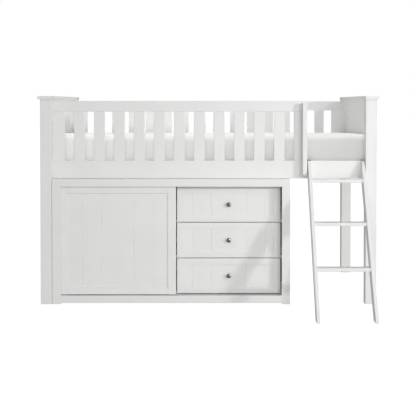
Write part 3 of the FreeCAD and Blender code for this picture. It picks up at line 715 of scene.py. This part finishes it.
class LOFTBED_OT_hook_screws(bpy.types.Operator):
    """Fix the ladder's hooks with a slotted screw each"""

    bl_idname = "loftbed.hook_screws"
    bl_label = "Hook Screws"

    head_height = 0.0014
    slot_width = 0.0011
    slot_turn = math.radians(30)
    # From the hook's edges to the middle of its screw.
    inset = 0.008

    def execute(self, context):
        radius = context.scene.loft_bed_sizes.screw_radius
        low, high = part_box("ladder_hooks")
        head = round_head(radius, self.head_height)
        clear_selection()
        bpy.ops.mesh.primitive_cube_add(size=1, location=(0, 0, self.head_height))
        slot = bpy.context.object
        slot.scale = (self.slot_width, 3 * radius, self.head_height)
        apply_modifier(head, "BOOLEAN", operation="DIFFERENCE", object=slot, solver="EXACT")
        bpy.data.objects.remove(slot)
        screws = []
        for x in (low.x + self.inset, high.x - self.inset):
            screws.append(copied(head, (x, low.y + self.inset, high.z), self.slot_turn))
        bpy.data.objects.remove(head)
        settle(joined(screws), "hook_screws", "ladder", "zinc_plated_steel")
        return {"FINISHED"}


class LOFTBED_OT_panel_pins(bpy.types.Operator):
    """Pin the storage unit's back to its floor and divider"""

    bl_idname = "loftbed.panel_pins"
    bl_label = "Back Panel Pins"

    floor_pins = 11
    divider_pins = 6
    # From the panel's ends and top to the nearest pin.
    margin = 0.05
    # A pin head's height as a share of its radius.
    rise = 0.5

    def execute(self, context):
        radius = context.scene.loft_bed_sizes.pin_radius
        low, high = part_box("unit_back")
        floor_low, floor_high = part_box("unit_floor")
        divider_low, divider_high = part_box("unit_divider")
        floor_z = (floor_low.z + floor_high.z) / 2
        divider_x = (divider_low.x + divider_high.x) / 2
        run = high.x - low.x - 2 * self.margin
        climb = high.z - self.margin - floor_z
        places = []
        for step in range(self.floor_pins):
            places.append((low.x + self.margin + step * run / (self.floor_pins - 1), floor_z))
        for step in range(1, self.divider_pins + 1):
            places.append((divider_x, floor_z + step * climb / self.divider_pins))
        head = round_head(radius, radius * self.rise)
        head.rotation_euler = (-math.pi / 2, 0, 0)
        only(head)
        bpy.ops.object.transform_apply(location=True, rotation=True, scale=True)
        pins = [copied(head, (x, high.y, z)) for x, z in places]
        bpy.data.objects.remove(head)
        settle(joined(pins), "back_panel_pins", "bed", "zinc_plated_steel")
        return {"FINISHED"}


class LOFTBED_OT_drawer_boxes(bpy.types.Operator):
    """Build the drawers' pine boxes with the grain along each board"""

    bl_idname = "loftbed.drawer_boxes"
    bl_label = "Drawer Boxes"

    # Thickness of the upright boards, height of the bottom's underside, thickness of the bottom,
    # and how far the edges are eased.
    board = 0.012
    rise = 0.010
    bottom = 0.006
    ease = 0.0015

    def execute(self, context):
        for drawer in ("top", "middle", "bottom"):
            node = drawer + "_drawer_box"
            box = self.boards(*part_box(node))
            settle(box, drawer + "_pine_box", drawer + "_drawer")
            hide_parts(node)
        return {"FINISHED"}

    def boards(self, low, high):
        """Two sides and a bottom with the grain from front to back, and two ends with it across."""
        inner_x = (low.x + self.board, high.x - self.board)
        inner_y = (low.y + self.board, high.y - self.board)
        bottom_z = (low.z + self.rise, low.z + self.rise + self.bottom)
        rows = (
            ((low.x, inner_x[0]), (low.y, high.y), (low.z, high.z), "bare_pine_crosswise"),
            ((inner_x[1], high.x), (low.y, high.y), (low.z, high.z), "bare_pine_crosswise"),
            (inner_x, (low.y, inner_y[0]), (low.z, high.z), "bare_pine_lengthwise"),
            (inner_x, (inner_y[1], high.y), (low.z, high.z), "bare_pine_lengthwise"),
            (inner_x, inner_y, bottom_z, "bare_pine_crosswise"),
        )
        made = []
        for x, y, z, grain in rows:
            clear_selection()
            spans = (x, y, z)
            bpy.ops.mesh.primitive_cube_add(size=1, location=[sum(pair) / 2 for pair in spans])
            piece = bpy.context.object
            piece.scale = [pair[1] - pair[0] for pair in spans]
            bpy.ops.object.transform_apply(location=True, rotation=True, scale=True)
            apply_modifier(piece, "BEVEL", width=self.ease, segments=2, limit_method="ANGLE")
            piece.data.materials.append(finish(grain))
            made.append(piece)
        box = joined(made)
        bpy.ops.object.shade_smooth_by_angle(angle=SMOOTH_ANGLE)
        return box


class LOFTBED_OT_stage(bpy.types.Operator):
    """Lay the floor and set the lights and the camera"""

    bl_idname = "loftbed.stage"
    bl_label = "Floor, Light and Camera"

    floor_side = 80
    floor_grey = "#A6A6A5"
    white = (1, 1, 1, 1)

    def execute(self, context):
        stage = context.scene.loft_bed_stage
        context.scene.view_settings.view_transform = "Standard"
        self.floor(stage)
        self.room(context, stage)
        bedding = bpy.data.objects["sheeted_mattress"]
        key = self.light(stage, "key_light", stage.key_place, stage.key_power, stage.light_size)
        front = self.light(stage, "front_light", stage.front_place, stage.front_power, stage.light_size)
        front.data.spread = stage.front_spread
        size = stage.bedding_size
        soft = self.light(stage, "bedding_light", stage.bedding_place, stage.bedding_power, size)
        sheet = self.light(stage, "sheet_light", stage.sheet_place, stage.sheet_power, size)
        self.flag(key, bedding, "EXCLUDE")
        self.flag(front, bedding, "EXCLUDE")
        for light in (soft, sheet):
            self.flag(light, bedding, "INCLUDE")
            light.light_linking.blocker_collection = light.light_linking.receiver_collection
        self.camera(context, stage)
        return {"FINISHED"}

    def floor(self, stage):
        """A plain white floor that glows a little, as a light table does."""
        clear_selection()
        bpy.ops.mesh.primitive_plane_add(size=self.floor_side)
        floor = bpy.context.object
        floor.name = "studio_floor"
        material, tree, shader = start_material("white_studio_floor", linear(self.floor_grey), 0.9)
        shader.inputs["Emission Color"].default_value = self.white
        shader.inputs["Emission Strength"].default_value = stage.floor_glow
        floor.data.materials.append(material)
        floor.visible_diffuse = False
        floor.visible_glossy = False

    def room(self, context, stage):
        """Soft light that fades from above to below, and a white background for the camera."""
        world = bpy.data.worlds.new("studio_room")
        world.use_nodes = True
        context.scene.world = world
        tree = world.node_tree
        tree.nodes.clear()
        ray = add(tree, "ShaderNodeLightPath")
        way = add(tree, "ShaderNodeTexCoord").outputs["Generated"]
        axes = add(tree, "ShaderNodeSeparateXYZ", inputs={"Vector": way})
        height = axes.outputs["Z"]
        under = add(tree, "ShaderNodeMapRange", inputs={
            "Value": height, "From Min": -1, "From Max": 0, "To Min": stage.below, "To Max": stage.around})
        over = add(tree, "ShaderNodeMapRange", inputs={
            "Value": height, "To Min": 0, "To Max": stage.overhead - stage.around})
        level = add(tree, "ShaderNodeMath", {"operation": "ADD"},
                    {0: under.outputs["Result"], 1: over.outputs["Result"]})
        across = add(tree, "ShaderNodeMath", {"operation": "ABSOLUTE"}, {0: axes.outputs["Y"]})
        share = add(tree, "ShaderNodeMapRange", inputs={
            "Value": across.outputs["Value"], "To Min": stage.aside, "To Max": stage.ahead})
        soft = add(tree, "ShaderNodeMath", {"operation": "MULTIPLY"},
                   {0: level.outputs["Value"], 1: share.outputs["Result"]})
        shown = add(tree, "ShaderNodeMapRange", inputs={
            "Value": ray.outputs["Is Glossy Ray"], "To Min": 1, "To Max": stage.mirrored})
        strength = add(tree, "ShaderNodeMath", {"operation": "MULTIPLY"},
                       {0: soft.outputs["Value"], 1: shown.outputs["Result"]})
        light = add(tree, "ShaderNodeBackground",
                    inputs={"Color": self.white, "Strength": strength.outputs["Value"]})
        seen = add(tree, "ShaderNodeBackground", inputs={"Color": self.white, "Strength": 1.0})
        mixed = add(tree, "ShaderNodeMixShader",
                    inputs={0: ray.outputs["Is Camera Ray"], 1: light.outputs[0], 2: seen.outputs[0]})
        add(tree, "ShaderNodeOutputWorld", inputs={"Surface": mixed.outputs[0]})

    def light(self, stage, name, place, power, size):
        """One soft round light, aimed at the bed."""
        clear_selection()
        aim = Vector(stage.light_aim) - Vector(place)
        turn = aim.to_track_quat("-Z", "Y").to_euler()
        bpy.ops.object.light_add(type="AREA", location=place, rotation=turn)
        light = bpy.context.object
        light.name = name
        light.data.shape = "DISK"
        light.data.size = size
        light.data.energy = power
        return light

    def flag(self, light, piece, state):
        """Keeps a light off one piece, or lets it fall on that piece alone, as flags do in a studio."""
        lit = bpy.data.collections.new(light.name + "_falls_on")
        lit.objects.link(piece)
        lit.collection_objects[0].light_linking.link_state = state
        light.light_linking.receiver_collection = lit

    def camera(self, context, stage):
        """The photograph's own view."""
        clear_selection()
        turn = (math.pi / 2 - stage.camera_pitch, 0, 0)
        bpy.ops.object.camera_add(location=stage.camera_place, rotation=turn)
        camera = bpy.context.object
        camera.name = "photo_camera"
        camera.data.sensor_width = SENSOR_WIDTH
        camera.data.lens = stage.focal_pixels / IMAGE_SIDE * SENSOR_WIDTH
        camera.data.shift_x = 0.5 - stage.middle[0] / IMAGE_SIDE
        camera.data.shift_y = stage.middle[1] / IMAGE_SIDE - 0.5
        context.scene.camera = camera


class LOFTBED_PT_sidebar(bpy.types.Panel):
    """Lists the bed's pieces and the stage"""

    bl_idname = "LOFTBED_PT_sidebar"
    bl_label = "Loft Bed"
    bl_space_type = "VIEW_3D"
    bl_region_type = "UI"
    bl_category = "Loft Bed"

    def draw(self, context):
        for group in ("loft_bed_finishes", "loft_bed_sizes", "loft_bed_stage"):
            values = getattr(context.scene, group)
            column = self.layout.column(align=True)
            for name in values.__annotations__:
                column.prop(values, name)
        for operator in operators:
            self.layout.operator(operator.bl_idname)


groups = {
    "loft_bed_finishes": LoftBedFinishes,
    "loft_bed_sizes": LoftBedSizes,
    "loft_bed_stage": LoftBedStage,
}
operators = (
    LOFTBED_OT_finish_boards,
    LOFTBED_OT_mattress,
    LOFTBED_OT_knobs,
    LOFTBED_OT_drawer_boxes,
    LOFTBED_OT_rail_bolts,
    LOFTBED_OT_hook_screws,
    LOFTBED_OT_panel_pins,
    LOFTBED_OT_stage,
)


def register():
    for kind in (*groups.values(), *operators, LOFTBED_PT_sidebar):
        bpy.utils.register_class(kind)
    for name, kind in groups.items():
        setattr(bpy.types.Scene, name, bpy.props.PointerProperty(type=kind))


def unregister():
    for name in groups:
        delattr(bpy.types.Scene, name)
    for kind in (LOFTBED_PT_sidebar, *reversed(operators), *reversed(groups.values())):
        bpy.utils.unregister_class(kind)


def main():
    register()
    bpy.ops.loftbed.finish_boards()
    bpy.ops.loftbed.mattress()
    bpy.ops.loftbed.knobs()
    bpy.ops.loftbed.drawer_boxes()
    bpy.ops.loftbed.rail_bolts()
    bpy.ops.loftbed.hook_screws()
    bpy.ops.loftbed.panel_pins()
    bpy.ops.loftbed.stage()


if __name__ == "__main__":
    main()
